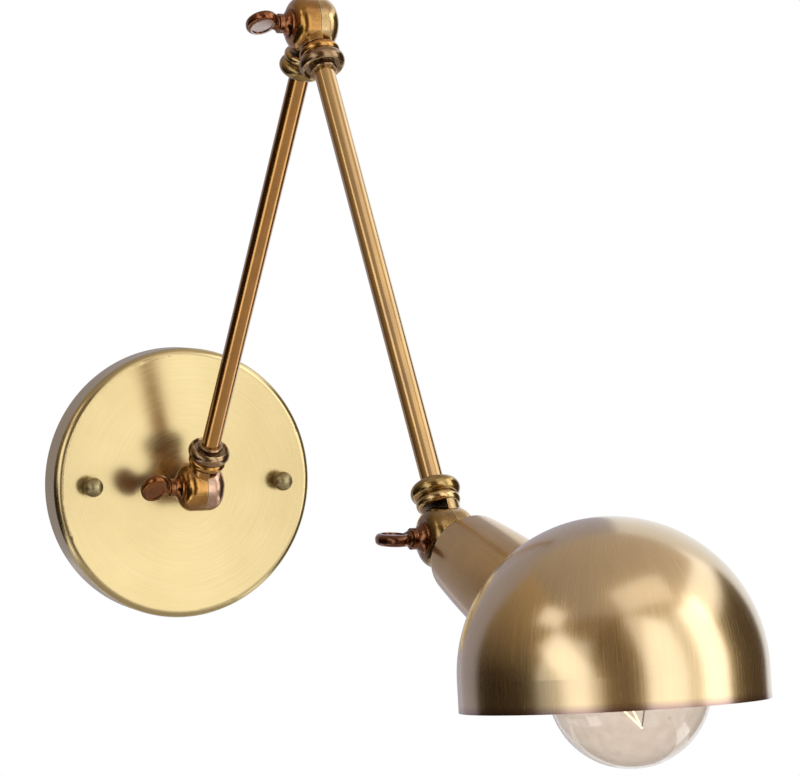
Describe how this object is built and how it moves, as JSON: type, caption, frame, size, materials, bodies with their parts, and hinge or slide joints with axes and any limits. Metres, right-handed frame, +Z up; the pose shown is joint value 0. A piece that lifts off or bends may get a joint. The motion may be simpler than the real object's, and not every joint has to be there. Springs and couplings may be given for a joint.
{
  "type": "extendable wall lamp",
  "caption": "Swing-arm wall lamp in antique brass: round wall plate, two folding arms on wing-screw knuckles, and a tilting dome shade over a clear bulb.",
  "frame": {"origin": "centre of the wall plate, on the wall plane and midway between the strap's two wall-screw slots", "axes": "+Y into the wall, -Y out into the room, +Z up, +X to the right of someone facing the wall; the arms move in the plane x = 0"},
  "size_m": [0.14, 0.525, 0.3059],
  "materials": {
    "plate_brass": "bright circular-brushed brass, clear lacquer",
    "arm_brass": "satin drawn brass tube",
    "knuckle_brass": "aged cast brass, polished on the crowns",
    "wing_bronze": "dark copper-bronze, glossy",
    "nut_brass": "dull turned brass",
    "shade_brass": "satin antique brass, fine brushing",
    "holder_brass": "satin antique brass",
    "zinc_steel": "zinc-plated steel",
    "earth_brass": "plain brass screw",
    "washer_fibre": "vulcanised fibre",
    "socket_porcelain": "glazed porcelain",
    "contact_brass": "plain sheet brass",
    "bulb_cap_nickel": "nickel-plated brass",
    "bulb_tip_black": "black vitrite",
    "clear_glass": "clear blown glass",
    "filament_wire": "bare wire, warm when lit"
  },
  "bodies": {
    "wall": {"wall_plate": "plate_brass", "mounting_strap": "zinc_steel", "earth_screw": "earth_brass", "plate_studs": "zinc_steel", "stud_nuts": "zinc_steel", "ball_nuts": "nut_brass", "stem_washer": "zinc_steel", "stem_nut": "zinc_steel", "base_thread_half": "knuckle_brass"},
    "arm1": {"base_screw_half": "knuckle_brass", "base_friction_washer": "washer_fibre", "arm1_near_collar": "knuckle_brass", "arm1_tube": "arm_brass", "arm1_far_collar": "knuckle_brass", "elbow_thread_half": "knuckle_brass"},
    "arm2": {"elbow_screw_half": "knuckle_brass", "elbow_friction_washer": "washer_fibre", "arm2_near_collar": "knuckle_brass", "arm2_tube": "arm_brass", "arm2_far_collar": "knuckle_brass", "shade_thread_half": "knuckle_brass"},
    "head": {"shade_screw_half": "knuckle_brass", "shade_friction_washer": "washer_fibre", "holder_cup": "holder_brass", "holder_nipple": "zinc_steel", "holder_nut": "zinc_steel", "lamp_socket": "socket_porcelain", "socket_shell": "contact_brass", "socket_contact": "contact_brass", "dome_shade": "shade_brass", "shade_ring": "holder_brass", "bulb_cap": "bulb_cap_nickel", "bulb_tip": "bulb_tip_black", "bulb_glass": "clear_glass", "bulb_stem": "clear_glass", "filament": "filament_wire", "filament_supports": "filament_wire"},
    "base_wing": {"base_wing_screw": "wing_bronze"},
    "elbow_wing": {"elbow_wing_screw": "wing_bronze"},
    "shade_wing": {"shade_wing_screw": "wing_bronze"}
  },
  "joints": [
    {"name": "base_pitch", "type": "hinge", "parent": "wall", "child": "arm1", "pos_m": [0, -0.04, 0], "axis": [1, 0, 0], "range_deg": [-34, 145]},
    {"name": "elbow_fold", "type": "hinge", "parent": "arm1", "child": "arm2", "pos_m": [0, -0.18355, 0.22275], "axis": [1, 0, 0], "range_deg": [-228, 2.5]},
    {"name": "shade_tilt", "type": "hinge", "parent": "arm2", "child": "head", "pos_m": [0, -0.3271, 0], "axis": [1, 0, 0], "range_deg": [-62, 145]},
    {"name": "base_wing_turn", "type": "hinge", "parent": "wall", "child": "base_wing", "pos_m": [0, -0.04, 0], "axis": [1, 0, 0], "range_deg": [-360, 20]},
    {"name": "elbow_wing_turn", "type": "hinge", "parent": "arm1", "child": "elbow_wing", "pos_m": [0, -0.18355, 0.22275], "axis": [1, 0, 0], "range_deg": [-360, 20]},
    {"name": "shade_wing_turn", "type": "hinge", "parent": "arm2", "child": "shade_wing", "pos_m": [0, -0.3271, 0], "axis": [1, 0, 0], "range_deg": [-360, 20]}
  ]
}
